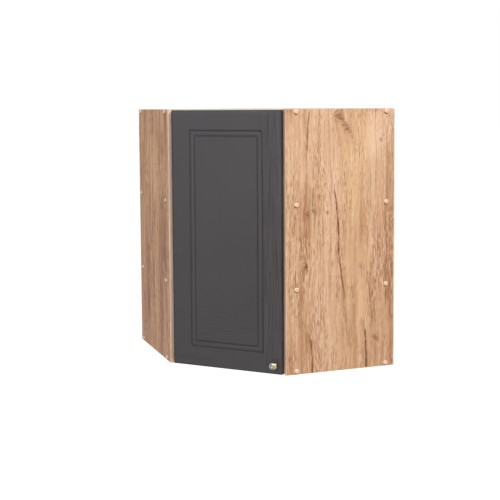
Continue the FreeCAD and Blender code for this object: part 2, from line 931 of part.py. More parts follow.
def hinge_arm(name, level):
    """The fixed arm: a channel along the end panel and a hook that carries the pin's eye."""
    pin = panel_point("pin_across", "pin_inward")
    first = panel_point("pin_across+hook_reach", "pin_inward+hook_slope")
    second = panel_point("pin_across+hook_width", "pin_inward+hook_drop")
    third = ("board+arm_height", "arm_start")
    last = ("board+arm_height", "arm_end")
    points = [pin, first, second, third, last]
    forms = [strip(a, b, "arm_thickness", "arm_width") for a, b in zip(points, points[1:])]
    for x, y in points[1:4]:
        forms.append(rod("arm_thickness/2", "arm_width", x, y, "-arm_width/2"))
    forms.append(rod("eye_radius", "arm_width", *pin, "-arm_width/2"))
    for low, high in (
        ("-arm_width/2", "-arm_width/2+arm_flange"),
        ("arm_width/2-arm_flange", "arm_width/2"),
    ):
        forms.append(
            box(
                "board+arm_foot_gap",
                "board+arm_height",
                "arm_flange_start",
                "arm_end",
                low,
                high,
            )
        )
    bore = rod("pin_radius+pin_gap", "2*arm_width", *pin, "-arm_width")
    radius, depth = "adjuster_radius+fit_gap", "2*arm_thickness"
    start = "arm_face-1.5*arm_thickness"
    holes = [rod(radius, depth, start, y, "0", INTO_CABINET) for y in ADJUSTERS]
    made = less(fused(*forms), bore, *holes)
    place(made, "-wall_length", "-end_depth", level)
    node("hinge_arm_" + name, made)


def mounting_plate(name, level):
    """The plate screwed to the end panel: a round-ended foot and the rail for the arm."""
    foot = box(
        "board",
        "plate_level",
        "plate_setback-plate_wing_half",
        "plate_setback+plate_wing_half",
        "-plate_screw_pitch/2",
        "plate_screw_pitch/2",
    )
    heights = ("-plate_screw_pitch/2", "plate_screw_pitch/2")
    ends = [
        rod("plate_wing_half", "plate_thickness", "board", "plate_setback", z, INTO_CABINET)
        for z in heights
    ]
    rail = box(
        "board",
        "arm_face-arm_thickness-fit_gap",
        "rail_start",
        "rail_end",
        "-(arm_width/2-arm_flange-rail_gap)",
        "arm_width/2-arm_flange-rail_gap",
    )
    radius = "small_screw_radius+fit_gap"
    cuts = [
        rod(radius, "plate_thickness", "board", "plate_setback", z, INTO_CABINET)
        for z in heights
    ]
    for z in heights:
        sink = new("Part::Cone", "sink")
        bind(
            sink,
            Radius1=radius,
            Radius2="small_head_radius+fit_gap",
            Height="small_head_radius-small_screw_radius",
        )
        place(
            sink,
            "plate_level-(small_head_radius-small_screw_radius)",
            "plate_setback",
            z,
            Rotation(UP, INTO_CABINET),
        )
        cuts.append(sink)
    radius, depth = "adjuster_radius+fit_gap", "adjuster_length"
    start = "arm_face-adjuster_length"
    cuts += [rod(radius, depth, start, y, "0", INTO_CABINET) for y in ADJUSTERS]
    made = less(fused(foot, *ends, rail), *cuts)
    place(made, "-wall_length", "-end_depth", level)
    node("hinge_plate_" + name, made)


def hinge_cup(name, level):
    """The cup let into the door's inner face, with its flange and the pin across it."""
    into_door = Vector(0, -1, 0)
    flange = "door_back+flange_thickness"
    radius, depth = "cup_radius-cup_gap", "cup_depth-cup_gap"
    bowl = rod(radius, depth, "cup_across", "door_back", along=into_door)
    radius = "cup_radius+flange_rim"
    disc = rod(radius, "flange_thickness", "cup_across", flange, along=into_door)
    heights = ("-cup_screw_pitch/2", "cup_screw_pitch/2")
    middle = "cup_across+cup_screw_offset"
    wing = box(
        "%s-wing_half" % middle,
        "%s+wing_half" % middle,
        "door_back",
        flange,
        *heights,
    )
    ends = [rod("wing_half", "flange_thickness", middle, flange, z, into_door) for z in heights]
    half_mouth = "sqrt((cup_radius-cup_gap-cup_wall)^2-(cup_mouth_width/2)^2)"
    mouth = box(
        "cup_across-%s" % half_mouth,
        "cup_across+%s" % half_mouth,
        "door_back-cup_depth+cup_gap+cup_wall",
        "door_back+2*flange_thickness",
        "-cup_mouth_width/2",
        "cup_mouth_width/2",
    )
    bore = rod("pin_radius", "pin_length", "pin_across", "pin_inward", "-pin_length/2")
    radius = "small_screw_radius+fit_gap"
    screws = [rod(radius, "2*flange_thickness", middle, flange, z, into_door) for z in heights]
    made = less(fused(bowl, disc, wing, *ends), mouth, bore, *screws)
    from_left_corner(made, level=level)
    node("hinge_cup_" + name, made)
    pin = rod("pin_radius", "pin_length")
    from_left_corner(pin, "pin_across", "pin_inward", "%s-pin_length/2" % level)
    node("hinge_pin_" + name, pin)


def pan_screw():
    """A slotted wood screw whose flat head stands on the cup's flange, at z = 0."""
    body = turned(
        "pan_screw",
        [
            ("0", "-pan_head_height"),
            ("small_head_radius", "-pan_head_height"),
            ("small_head_radius", "0"),
            ("small_screw_radius", "0"),
            ("small_screw_radius", "small_screw_length-small_screw_tip"),
            ("0", "small_screw_length"),
        ],
    )
    return slotted(body, "small_head_radius", "-pan_head_height")


def machine_screw(radius, length, head_radius, head_height):
    """A slotted screw with a flat end, the underside of its head at z = 0."""
    top = "-(%s)" % head_height
    body = turned(
        "machine_screw",
        [
            ("0", top),
            (head_radius, top),
            (head_radius, "0"),
            (radius, "0"),
            (radius, length),
            ("0", length),
        ],
    )
    return slotted(body, head_radius, top)


def hinges(screw):
    for name, level in HINGES.items():
        mounting_plate(name, level)
        hinge_arm(name, level)
        hinge_cup(name, level)
    plates, adjusters, cups = [], [], []
    for level in HINGES.values():
        for sign in "-+":
            plates.append(
                (
                    "-wall_length+plate_level",
                    "-end_depth+plate_setback",
                    "%s%splate_screw_pitch/2" % (level, sign),
                )
            )
            x, y = panel_point("cup_across+cup_screw_offset", "door_back+flange_thickness")
            cups.append(
                (
                    "-wall_length+%s" % x,
                    "-end_depth+%s" % y,
                    "%s%scup_screw_pitch/2" % (level, sign),
                )
            )
        for y in ADJUSTERS:
            adjusters.append(("-wall_length+arm_face", "-end_depth+%s" % y, level))
    group("hinge_plate_screws", screw, plates, Vector(-1, 0, 0))
    adjuster = machine_screw(
        "adjuster_radius",
        "adjuster_length-fit_gap",
        "adjuster_head_radius",
        "adjuster_head_height",
    )
    group("hinge_cup_screws", pan_screw(), cups, OUTWARD)
    group("hinge_adjusting_screws", adjuster, adjusters, Vector(-1, 0, 0))


# ---------------------------------------------------------------- the whole cabinet


def build():
    for side in ("left", "right"):
        end_panel(side)
        back_panel(side)
        hanger_plate(side)
    end_bands()
    for label in LEVELS:
        level_panel(label)
    carcass_fasteners()
    screw = small_screw()
    hanger_screws(screw)
    door()
    knob()
    buffers()
    hinges(screw)
    doc.recompute()


def write_out():
    """Check every object, then write each piece to its own file."""
    for thing in doc.Objects:
        if "Invalid" in thing.State or "Error" in thing.State:
            raise RuntimeError("%s failed" % thing.Label)
    for thing in NODES:
        shape = thing.Shape
        if shape.isNull() or not shape.isValid():
            raise RuntimeError("%s has no sound shape" % thing.Label)
    os.makedirs("parts", exist_ok=True)
    for thing in NODES:
        thing.Shape.exportStep("parts/%s.step" % thing.Label)
        box_mm = thing.Shape.BoundBox
        print(
            "%-26s %3d solid(s) %10.0f mm3  x %7.1f %7.1f  y %7.1f %7.1f  z %6.1f %6.1f"
            % (
                thing.Label,
                len(thing.Shape.Solids),
                thing.Shape.Volume,
                box_mm.XMin,
                box_mm.XMax,
                box_mm.YMin,
                box_mm.YMax,
                box_mm.ZMin,
                box_mm.ZMax,
            )
        )


build()
write_out()
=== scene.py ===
import json
import math

import bpy
from mathutils import Matrix, Vector

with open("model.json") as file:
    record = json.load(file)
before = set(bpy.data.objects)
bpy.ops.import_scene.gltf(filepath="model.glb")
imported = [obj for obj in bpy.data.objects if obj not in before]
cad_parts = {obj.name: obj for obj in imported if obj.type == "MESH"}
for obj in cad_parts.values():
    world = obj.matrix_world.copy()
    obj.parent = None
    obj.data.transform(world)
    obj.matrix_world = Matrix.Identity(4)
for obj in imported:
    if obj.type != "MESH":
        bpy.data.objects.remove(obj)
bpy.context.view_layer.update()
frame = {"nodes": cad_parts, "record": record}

# ---------------------------------------------------------------- sizes from the frame

# All in metres. The origin is the room corner at the cabinet's underside, +Z up. The end
# panels' outer faces are at x = -WALL_LENGTH (left) and y = -WALL_LENGTH (right), and
# each panel reaches END_DEPTH out from its wall. The door closes the diagonal between.


def spread(node, measure):
    """The least and the most of one measure over a CAD node's points, as they are at rest."""
    values = [measure(*point.co) for point in frame["nodes"][node].data.vertices]
    return min(values), max(values)


def middle(ends):
    """The place halfway between a least and a most."""
    return sum(ends) / 2


DIAGONAL_TURN = math.sqrt(0.5)
WALL_LENGTH = -spread("side_panel_left", lambda x, y, up: x)[0]
END_DEPTH = -spread("edge_band_side_left", lambda x, y, up: y)[0]
HEIGHT = spread("side_panel_left", lambda x, y, up: up)[1]


def along_front(x, y, up):
    """How far a point lies from the left front corner, along the diagonal front."""
    return ((x + WALL_LENGTH) - (y + END_DEPTH)) * DIAGONAL_TURN


DOOR_LEFT, DOOR_RIGHT = spread("door_panel", along_front)
DOOR_FOOT, DOOR_TOP = spread("door_panel", lambda x, y, up: up)
KNOB_ACROSS = middle(spread("door_knob", along_front))
KNOB_LEVEL = middle(spread("door_knob", lambda x, y, up: up))


# ---------------------------------------------------------------- mixing a finish

# A Mix node set to colours keeps its amount, two colours and result at these sockets.
MIX_AMOUNT, MIX_FIRST, MIX_SECOND, MIX_RESULT = 0, 6, 7, 2


def screen_color(red, green, blue):
    """A colour as seen on a screen, 0 to 255, turned into linear light."""
    def one(value):
        value /= 255
        return value / 12.92 if value <= 0.04045 else ((value + 0.055) / 1.055) ** 2.4
    return (one(red), one(green), one(blue), 1.0)


class Mixing:
    """Short names for the steps of one finish, each a node joined to the ones before."""

    def __init__(self, tree):
        self.tree = tree

    def node(self, kind, **settings):
        made = self.tree.nodes.new(kind)
        for name, value in settings.items():
            setattr(made, name, value)
        return made

    def feed(self, socket, value):
        """Joins a socket to another node's output, or gives it a plain value."""
        if isinstance(value, bpy.types.NodeSocket):
            self.tree.links.new(value, socket)
        else:
            socket.default_value = value

    def math(self, operation, *values):
        made = self.node("ShaderNodeMath", operation=operation)
        for socket, value in zip(made.inputs, values):
            self.feed(socket, value)
        return made.outputs[0]

    def chain(self, operation, values):
        """One operation on any number of values, from the left."""
        total = values[0]
        for value in values[1:]:
            total = self.math(operation, total, value)
        return total

    def add(self, *values):
        return self.chain("ADD", values)

    def sub(self, *values):
        return self.chain("SUBTRACT", values)

    def mul(self, *values):
        return self.chain("MULTIPLY", values)

    def most(self, *values):
        return self.chain("MAXIMUM", values)

    def least(self, *values):
        return self.chain("MINIMUM", values)

    def ramp(self, value, low, high, start=0.0, end=1.0, smooth=True):
        """start below low, end above high, and a smooth or straight passage between."""
        made = self.node("ShaderNodeMapRange", clamp=True)
        made.interpolation_type = "SMOOTHSTEP" if smooth else "LINEAR"
        for socket, given in zip(made.inputs, (value, low, high, start, end)):
            self.feed(socket, given)
        return made.outputs[0]

    def swing(self, value, size):
        """A noise value centred on zero and scaled."""
        return self.mul(self.sub(value, 0.5), size)

    def point(self, x=0.0, y=0.0, z=0.0):
        made = self.node("ShaderNodeCombineXYZ")
        for socket, value in zip(made.inputs, (x, y, z)):
            self.feed(socket, value)
        return made.outputs[0]

    def noise(self, where, scale=1.0, detail=2.0, rough=0.5):
        """Cloudy noise of about 0 to 1, with scale patches in each unit of where."""
        made = self.node("ShaderNodeTexNoise")
        self.feed(made.inputs["Vector"], where)
        self.feed(made.inputs["Scale"], scale)
        self.feed(made.inputs["Detail"], detail)
        self.feed(made.inputs["Roughness"], rough)
        return made.outputs["Fac"]

    def grain(self, across, along, seed, wide, tall, detail=3.0, rough=0.6):
        """Noise drawn out along the grain: wide and tall are patches a metre each way."""
        where = self.point(self.mul(across, wide), seed, self.mul(along, tall))
        return self.noise(where, detail=detail, rough=rough)

    def cells(self, where, scale):
        """The outputs of a pattern of cells, such as chips; scale is its cells a metre."""
        made = self.node("ShaderNodeTexVoronoi", feature="F1")
        self.feed(made.inputs["Vector"], where)
        self.feed(made.inputs["Scale"], scale)
        return made.outputs

    def blend(self, amount, one, two):
        """Colour one where the amount is 0, colour two where it is 1."""
        made = self.node("ShaderNodeMix", data_type="RGBA")
        self.feed(made.inputs[MIX_AMOUNT], amount)
        self.feed(made.inputs[MIX_FIRST], one)
        self.feed(made.inputs[MIX_SECOND], two)
        return made.outputs[MIX_RESULT]

    def own_place(self):
        """Object-space place and normal, so that a pattern stays on a piece that moves."""
        made = self.node("ShaderNodeTexCoord")
        return made.outputs["Object"], made.outputs["Normal"]

    def split(self, vector):
        made = self.node("ShaderNodeSeparateXYZ")
        self.feed(made.inputs[0], vector)
        return made.outputs[0], made.outputs[1], made.outputs[2]

    def shared(self, tree, **values):
        """One of the shared effects with this finish's own values; _ stands for a space."""
        made = self.node("ShaderNodeGroup")
        made.node_tree = tree
        for name, value in values.items():
            self.feed(made.inputs[name.replace("_", " ")], value)
        return made.outputs

    def relief(self, shader, height, strength, distance):
        """Fine relief on a shader; distance is its depth in metres."""
        made = self.node("ShaderNodeBump")
        made.inputs["Strength"].default_value = strength
        made.inputs["Distance"].default_value = distance
        self.feed(made.inputs["Height"], height)
        self.feed(shader.inputs["Normal"], made.outputs[0])


def shared_effect(name, given, results):
    """A shader node group; given names its number inputs, results its outputs' kinds.

    Where a group has them, S is the place across a panel and H the height, in metres.
    """
    tree = bpy.data.node_groups.new(name, "ShaderNodeTree")
    for label in given:
        tree.interface.new_socket(label, in_out="INPUT", socket_type="NodeSocketFloat")
    for label, kind in results.items():
        tree.interface.new_socket(label, in_out="OUTPUT", socket_type="NodeSocket" + kind)
    start = tree.nodes.new("NodeGroupInput")
    end = tree.nodes.new("NodeGroupOutput")
    return tree, Mixing(tree), start.outputs, end.inputs


def finish(name, **numbers):
    """A new material with one Principled shader; uniform numbers go on its own sockets."""
    made = bpy.data.materials.new(name)
    made.use_nodes = True
    shader = made.node_tree.nodes["Principled BSDF"]
    for label, value in numbers.items():
        shader.inputs[label.replace("_", " ")].default_value = value
    return made, Mixing(made.node_tree), shader


# ---------------------------------------------------------------- shared effects


def make_crack():
    """A split along the grain from a low to a high place: bowed, ragged, with a halo."""
    tree, mix, given, out = shared_effect(
        "crack",
        ("S", "H", "Low S", "Low H", "High S", "High H", "Bow", "Width", "Depth"),
        {"Dark": "Float", "Halo": "Float"},
    )
    height = given["H"]
    rise = mix.sub(given["High H"], given["Low H"])
    share = mix.math("DIVIDE", mix.sub(height, given["Low H"]), rise)
    arch = mix.mul(4.0, share, mix.sub(1.0, share))
    lean = mix.mul(share, mix.sub(given["High S"], given["Low S"]))
    bowed = mix.mul(given["Bow"], arch)
    # its middle line wanders in slow waves and, less far, in quick ones
    slow = mix.noise(mix.point(given["Low S"], 0.0, mix.mul(height, 26.0)))
    slow = mix.swing(slow, 0.006)
    quick = mix.noise(mix.point(given["Low S"], 1.0, mix.mul(height, 110.0)))
    quick = mix.swing(quick, 0.0014)
    line = mix.add(given["Low S"], lean, bowed, slow, quick)
    # aside counts in half widths from that line
    aside = mix.math("ABSOLUTE", mix.sub(given["S"], line))
    aside = mix.math("DIVIDE", aside, given["Width"])
    ragged = mix.grain(given["S"], height, 0.0, 1100.0, 130.0)
    swell = mix.noise(mix.point(given["Low S"], 5.0, mix.mul(height, 45.0)), detail=3.0)
    taper = mix.mul(mix.ramp(arch, 0.0, 0.5), mix.ramp(swell, 0.25, 0.6, 0.35, 1.0))
    body = mix.ramp(mix.add(aside, mix.swing(ragged, 1.2)), 0.2, 1.7, 1.0, 0.0)
    mix.feed(out["Dark"], mix.mul(body, taper, given["Depth"]))
    mix.feed(out["Halo"], mix.mul(mix.ramp(aside, 0.8, 8.0, 1.0, 0.0), taper, given["Depth"]))
    return tree


def make_knot():
    """A knot: a dark speckled eye, ragged outside, and how far it pushes the grain aside."""
    tree, mix, given, out = shared_effect(
        "knot",
        ("S", "H", "At S", "At H", "Size", "Long", "Lean", "Depth"),
        {"Dark": "Float", "Push": "Float"},
    )
    # up and aside count in knot sizes from its middle
    up = mix.math("DIVIDE", mix.sub(given["H"], given["At H"]), given["Size"])
    aside = mix.math("DIVIDE", mix.sub(given["S"], given["At S"]), given["Size"])
    aside = mix.add(aside, mix.mul(up, given["Lean"]))
    tall = mix.math("DIVIDE", up, given["Long"])
    reach = mix.math("SQRT", mix.add(mix.mul(aside, aside), mix.mul(tall, tall)))
    blot = mix.noise(mix.point(aside, given["At S"], up), scale=1.8, detail=5.0, rough=0.75)
    ragged = mix.add(reach, mix.swing(blot, 2.6))
    specks = mix.grain(given["S"], given["H"], 3.0, 520.0, 190.0, detail=4.0, rough=0.75)
    eye = mix.ramp(ragged, 0.05, 1.1, 1.0, 0.0)
    eye = mix.mul(eye, mix.ramp(specks, 0.38, 0.60, 0.1, 1.0), given["Depth"])
    mix.feed(out["Dark"], eye)
    fall = mix.math("EXPONENT", mix.mul(-0.6, reach, reach))
    mix.feed(out["Push"], mix.mul(aside, fall, given["Size"], 0.75))
    return tree


def make_soft_patch():
    """A long soft patch, 1 in its middle and 0 outside, its outline a little uneven."""
    tree, mix, given, out = shared_effect(
        "soft_patch",
        ("S", "H", "At S", "At H", "Half Width", "Half Height"),
        {"Mask": "Float"},
    )
    aside = mix.math("DIVIDE", mix.sub(given["S"], given["At S"]), given["Half Width"])
    up = mix.math("DIVIDE", mix.sub(given["H"], given["At H"]), given["Half Height"])
    reach = mix.add(mix.mul(aside, aside), mix.mul(up, up))
    uneven = mix.grain(given["S"], given["H"], 2.0, 60.0, 14.0, detail=3.0)
    reach = mix.add(reach, mix.swing(uneven, 1.6))
    mix.feed(out["Mask"], mix.ramp(reach, 0.1, 1.3, 1.0, 0.0))
    return tree


def make_oak_figure():
    """Oak in shades: slow clouds, growth streaks, brown veins, short fibres and pores.

    Seed picks the piece of wood, and Shortness above 1 makes fibres and pores shorter.
    """
    tree, mix, given, out = shared_effect(
        "oak_figure",
        ("S", "H", "Seed", "Shortness"),
        {"Tone": "Float", "Warm": "Float", "Fibre": "Float", "Pore": "Float"},
    )
    height, seed, short = given["H"], given["Seed"], given["Shortness"]
    # the grain wanders in slow waves and, less far, in quick ones
    slow = mix.swing(mix.grain(given["S"], height, seed, 6.0, 2.4, detail=2.0), 0.030)
    quick = mix.swing(mix.grain(given["S"], height, seed, 28.0, 15.0, detail=2.0), 0.0050)
    across = mix.add(given["S"], slow, quick)
    cloud = mix.grain(across, height, seed, 14.0, 2.2)
    streak = mix.grain(across, height, seed, 95.0, 3.2, detail=4.0)
    vein = mix.ramp(mix.grain(across, height, mix.add(seed, 7.0), 170.0, 3.4), 0.60, 0.76)
    veined = mix.ramp(mix.grain(across, height, mix.add(seed, 3.0), 9.0, 2.6), 0.46, 0.62)
    along = mix.mul(height, short)
    fibre = mix.grain(across, along, seed, 420.0, 16.0, detail=4.0, rough=0.75)
    hair = mix.grain(across, along, mix.add(seed, 2.0), 1050.0, 55.0, detail=2.0)
    # fibres and hairs stand out more in busy patches than in calm ones
    busy = mix.grain(across, height, mix.add(seed, 8.0), 17.0, 5.0, detail=2.0)
    busy = mix.ramp(busy, 0.38, 0.62, 0.45, 1.50)
    dash = mix.grain(across, along, mix.add(seed, 5.0), 900.0, 55.0, detail=1.0)
    tone = mix.add(
        0.5,
        mix.swing(cloud, 0.80),
        mix.swing(streak, 1.20),
        mix.mul(mix.swing(fibre, 2.05), busy),
        mix.mul(mix.swing(hair, 1.90), busy),
        mix.mul(vein, veined, -0.32),
    )
    mix.feed(out["Tone"], tone)
    warm = mix.grain(across, height, mix.add(seed, 4.0), 11.0, 1.4, detail=2.0)
    mix.feed(out["Warm"], mix.ramp(warm, 0.36, 0.64))
    mix.feed(out["Fibre"], fibre)
    mix.feed(out["Pore"], mix.ramp(dash, 0.60, 0.74))
    return tree


def make_near_end():
    """1 at either end of a stretch, fading to 0 a fade's length inside it."""
    tree, mix, given, out = shared_effect(
        "near_end", ("Place", "Low", "High", "Fade"), {"Mask": "Float"}
    )
    inside = mix.least(
        mix.sub(given["Place"], given["Low"]), mix.sub(given["High"], given["Place"])
    )
    share = mix.math("DIVIDE", inside, given["Fade"])
    mix.feed(out["Mask"], mix.ramp(share, 0.0, 1.0, 1.0, 0.0))
    return tree


def make_bare_chips():
    """The cut edge of a chipboard: packed chips with fine dust between them."""
    tree, mix, given, out = shared_effect("bare_chips", ("X", "Y", "Z"), {"Color": "Color"})
    where = mix.point(given["X"], given["Y"], given["Z"])
    chips = mix.cells(where, 420.0)
    dust = mix.noise(where, scale=1500.0, detail=3.0)
    pale, brown, dusty = (204, 168, 126), (148, 112, 76), (176, 140, 100)
    color = mix.blend(chips["Distance"], screen_color(*pale), screen_color(*brown))
    mix.feed(out["Color"], mix.blend(mix.mul(dust, 0.5), color, screen_color(*dusty)))
    return tree


CRACK = make_crack()
KNOT = make_knot()
SOFT_PATCH = make_soft_patch()
OAK_FIGURE = make_oak_figure()
NEAR_END = make_near_end()
BARE_CHIPS = make_bare_chips()

# ---------------------------------------------------------------- oak end panels

OAK_CRACK = screen_color(104, 58, 27)
REAR_SHADE = screen_color(124, 104, 88)
JOINT_SOFTNESS = 0.003
HIGHLIGHT_RIM_WIDTH = 0.0022
REAR_LINE_FROM, REAR_LINE_TO = 0.0055, 0.0020

# What stands where on each panel. All places and sizes are in metres, and a place is
# counted across from the panel's front edge and up from its foot.
#
# A crack: low end, high end, bow, half width, depth of tone.
# A knot: across, up, size, length over size, lean, depth of tone.
# A plank joint: where across it starts, the change in shade, the change to yellow.
# A patch of shade: across, up, half width, half height, change in shade.

RIGHT_CRACKS = [
    ((0.063, 0.600), (0.071, 0.722), -0.002, 0.0017, 0.80),
    ((0.079, 0.452), (0.081, 0.512), 0.000, 0.0017, 0.85),
    ((0.154, 0.300), (0.141, 0.520), 0.007, 0.0021, 0.95),
    ((0.174, 0.205), (0.157, 0.330), 0.000, 0.0021, 0.90),
    ((0.192, 0.050), (0.171, 0.240), -0.003, 0.0050, 0.30),
    ((0.076, -0.030), (0.073, 0.100), 0.003, 0.0018, 0.85),
    ((0.241, -0.050), (0.236, 0.122), 0.002, 0.0026, 1.00),
    ((0.257, 0.105), (0.241, 0.290), 0.002, 0.0016, 0.38),
    ((0.031, 0.230), (0.028, 0.275), 0.000, 0.0014, 0.70),
    ((0.301, 0.160), (0.298, 0.290), 0.000, 0.0013, 0.42),
    ((0.253, 0.400), (0.252, 0.580), 0.001, 0.0013, 0.42),
]
RIGHT_KNOTS = [
    (0.161, 0.694, 0.0150, 1.6, 0.5, 1.00),
    (0.180, 0.668, 0.0150, 2.2, 0.6, 0.90),
    (0.123, 0.439, 0.0070, 1.2, 0.0, 1.00),
    (0.284, 0.633, 0.0070, 1.4, 0.0, 0.85),
    (0.060, 0.289, 0.0105, 2.4, 0.1, 1.00),
    (0.269, 0.082, 0.0095, 1.6, 0.5, 0.90),
    (0.083, 0.443, 0.0120, 1.2, 0.0, 1.00),
    (0.064, 0.433, 0.0100, 1.6, 0.0, 0.95),
    (0.222, 0.285, 0.0080, 2.0, 0.0, 0.60),
    (0.228, 0.125, 0.0110, 2.0, 0.0, 0.50),
    (0.315, 0.430, 0.0130, 2.4, 0.3, 0.35),
]
RIGHT_PLANKS = [
    (0.074, 0.15, 0.25),
    (0.152, -0.04, 0.55),
    (0.248, -0.05, -0.60),
    (0.300, -0.10, -0.10),
]
RIGHT_PATCHES = [
    (0.058, 0.420, 0.034, 0.115, -0.16),
    (0.036, 0.110, 0.052, 0.130, -0.02),
    (0.262, 0.655, 0.055, 0.070, 0.20),
    (0.190, 0.560, 0.045, 0.070, 0.10),
    (0.016, 0.600, 0.022, 0.120, 0.16),
    (0.312, 0.280, 0.026, 0.170, -0.04),
    (0.118, 0.200, 0.036, 0.190, 0.03),
    (0.232, 0.400, 0.030, 0.090, -0.12),
]

LEFT_CRACKS = [
    ((0.171, 0.640), (0.158, 0.730), 0.002, 0.0080, 0.45),
    ((0.058, 0.585), (0.056, 0.665), 0.010, 0.0032, 0.70),
    ((0.058, 0.575), (0.056, 0.660), -0.006, 0.0028, 0.40),
    ((0.154, 0.285), (0.151, 0.460), 0.002, 0.0024, 0.80),
    ((0.172, 0.090), (0.168, 0.300), 0.003, 0.0036, 0.60),
    ((0.236, 0.060), (0.229, 0.330), -0.003, 0.0036, 0.50),
    ((0.055, 0.270), (0.054, 0.330), 0.000, 0.0028, 0.75),
    ((0.098, 0.040), (0.103, 0.230), 0.003, 0.0028, 0.40),
    ((0.275, 0.050), (0.290, 0.170), 0.000, 0.0050, 0.45),
    ((0.205, 0.330), (0.210, 0.560), 0.002, 0.0026, 0.30),
]
LEFT_KNOTS = [
    (0.071, 0.442, 0.0170, 1.2, 0.0, 0.75),
    (0.069, 0.247, 0.0150, 1.0, 0.0, 0.70),
    (0.215, 0.575, 0.0160, 2.2, 0.2, 0.40),
    (0.285, 0.610, 0.0110, 1.8, 0.0, 0.40),
    (0.250, 0.470, 0.0100, 1.6, 0.0, 0.32),
]
LEFT_PLANKS = [
    (0.026, -0.22, 0.0),
    (0.044, 0.16, 0.1),
    (0.078, -0.10, -0.1),
    (0.106, 0.20, 0.4),
    (0.158, -0.20, -0.2),
    (0.184, 0.14, 0.1),
    (0.226, -0.18, -0.2),
    (0.262, 0.16, 0.2),
    (0.300, -0.12, 0.0),
]
LEFT_PATCHES = [
    (0.060, 0.350, 0.045, 0.170, -0.18),
    (0.230, 0.200, 0.050, 0.170, -0.12),
    (0.140, 0.520, 0.050, 0.110, 0.16),
]


def lay_marks(mix, across, up, cracks, knots):
    """A panel's cracks and knots: the grain bent round them, their dark and their halo."""
    dark, halo, bent = 0.0, 0.0, across
    for at_across, at_up, size, long, lean, depth in knots:
        knot = mix.shared(
            KNOT, S=across, H=up, At_S=at_across, At_H=at_up, Size=size, Long=long,
            Lean=lean, Depth=depth,
        )
        bent = mix.sub(bent, knot["Push"])
        dark = mix.most(dark, knot["Dark"])
    for low, high, bow, width, depth in cracks:
        crack = mix.shared(
            CRACK, S=across, H=up, Low_S=low[0], Low_H=low[1], High_S=high[0],
            High_H=high[1], Bow=bow, Width=width, Depth=depth,
        )
        dark = mix.most(dark, crack["Dark"])
        halo = mix.most(halo, crack["Halo"])
    return bent, dark, halo


def lay_shades(mix, joint, bent, up, tone, yellow, planks, patches):
    """The planks and patches of a panel, each lighter, darker or yellower than the last."""
    for start, shade, warmth in planks:
        beyond = mix.ramp(joint, start - JOINT_SOFTNESS, start + JOINT_SOFTNESS)
        tone = mix.add(tone, mix.mul(beyond, shade))
        yellow = mix.add(yellow, mix.mul(beyond, warmth))
    for at_across, at_up, wide, tall, shade in patches:
        patch = mix.shared(
            SOFT_PATCH, S=bent, H=up, At_S=at_across, At_H=at_up, Half_Width=wide,
            Half_Height=tall,
        )
        tone = mix.add(tone, mix.mul(patch["Mask"], shade))
    return tone, yellow


def lay_edges(mix, across, up, color, pale):
    """A painted highlight runs along the laminate's rim, and a grey line of painted shade
    runs up the rear edge.
    """
    ends = mix.shared(NEAR_END, Place=up, Low=0.0, High=HEIGHT, Fade=HIGHLIGHT_RIM_WIDTH)
    sides = mix.shared(NEAR_END, Place=across, Low=0.0, High=END_DEPTH, Fade=HIGHLIGHT_RIM_WIDTH)
    # painted highlight: the laminate's rim is painted paler, as if it caught the light
    rim = mix.most(ends["Mask"], sides["Mask"])
    color = mix.blend(mix.mul(rim, 0.35), color, pale)
    # the grey line is the shaded gap where the thin back is let in
    rear = mix.ramp(across, END_DEPTH - REAR_LINE_FROM, END_DEPTH - REAR_LINE_TO)
    return mix.blend(mix.mul(rear, 0.6), color, REAR_SHADE)


def oak_panel(name, seed, shortness, contrast, cracks, knots, planks, patches, colors):
    """Laminated end panel: oak decor on both faces, bare chips on its top and foot."""
    made, mix, shader = finish(name, Specular_IOR_Level=0.3)
    dark_oak, middle_oak, pink_oak, yellow_oak = colors
    place, normal = mix.own_place()
    x, y, up = mix.split(place)
    # one of x and y is -WALL_LENGTH on a panel's outer face, so 0 is its front edge
    across = mix.add(x, y, WALL_LENGTH + END_DEPTH)
    bent, dark, halo = lay_marks(mix, across, up, cracks, knots)
    figure = mix.shared(OAK_FIGURE, S=bent, H=up, Seed=seed, Shortness=shortness)
    wave = mix.swing(mix.noise(mix.point(mix.mul(up, 5.0), seed, 0.0)), 0.035)
    joint = mix.add(bent, wave)
    tone = mix.add(0.5, mix.swing(figure["Tone"], contrast))
    tone = mix.sub(tone, mix.mul(halo, 0.13))
    yellow = mix.swing(figure["Warm"], 0.5)
    tone, yellow = lay_shades(mix, joint, bent, up, tone, yellow, planks, patches)
    # painted shade: the panel is painted a little darker and browner towards the foot
    tone = mix.sub(tone, mix.ramp(up, 0.0, 0.6, 0.10, 0.0))
    color = mix.blend(mix.ramp(tone, 0.0, 0.5, smooth=False), dark_oak, middle_oak)
    light = mix.blend(mix.ramp(yellow, 0.0, 1.0), pink_oak, yellow_oak)
    color = mix.blend(mix.ramp(tone, 0.42, 0.95, smooth=False), color, light)
    color = mix.blend(mix.mul(figure["Pore"], 0.28), color, dark_oak)
    color = mix.blend(mix.least(dark, 0.9), color, OAK_CRACK)
    color = lay_edges(mix, across, up, color, pink_oak)
    _, _, facing_up = mix.split(normal)
    cut = mix.ramp(mix.math("ABSOLUTE", facing_up), 0.6, 0.9)
    chips = mix.shared(BARE_CHIPS, X=x, Y=y, Z=up)
    mix.feed(shader.inputs["Base Color"], mix.blend(cut, color, chips["Color"]))
    rough = mix.add(0.44, mix.mul(figure["Fibre"], 0.12), mix.mul(dark, 0.15))
    mix.feed(shader.inputs["Roughness"], rough)
    pressed = mix.grain(across, mix.mul(up, shortness), seed, 420.0, 16.0, detail=4.0)
    mix.relief(shader, pressed, 0.4, 0.0003)
    return made


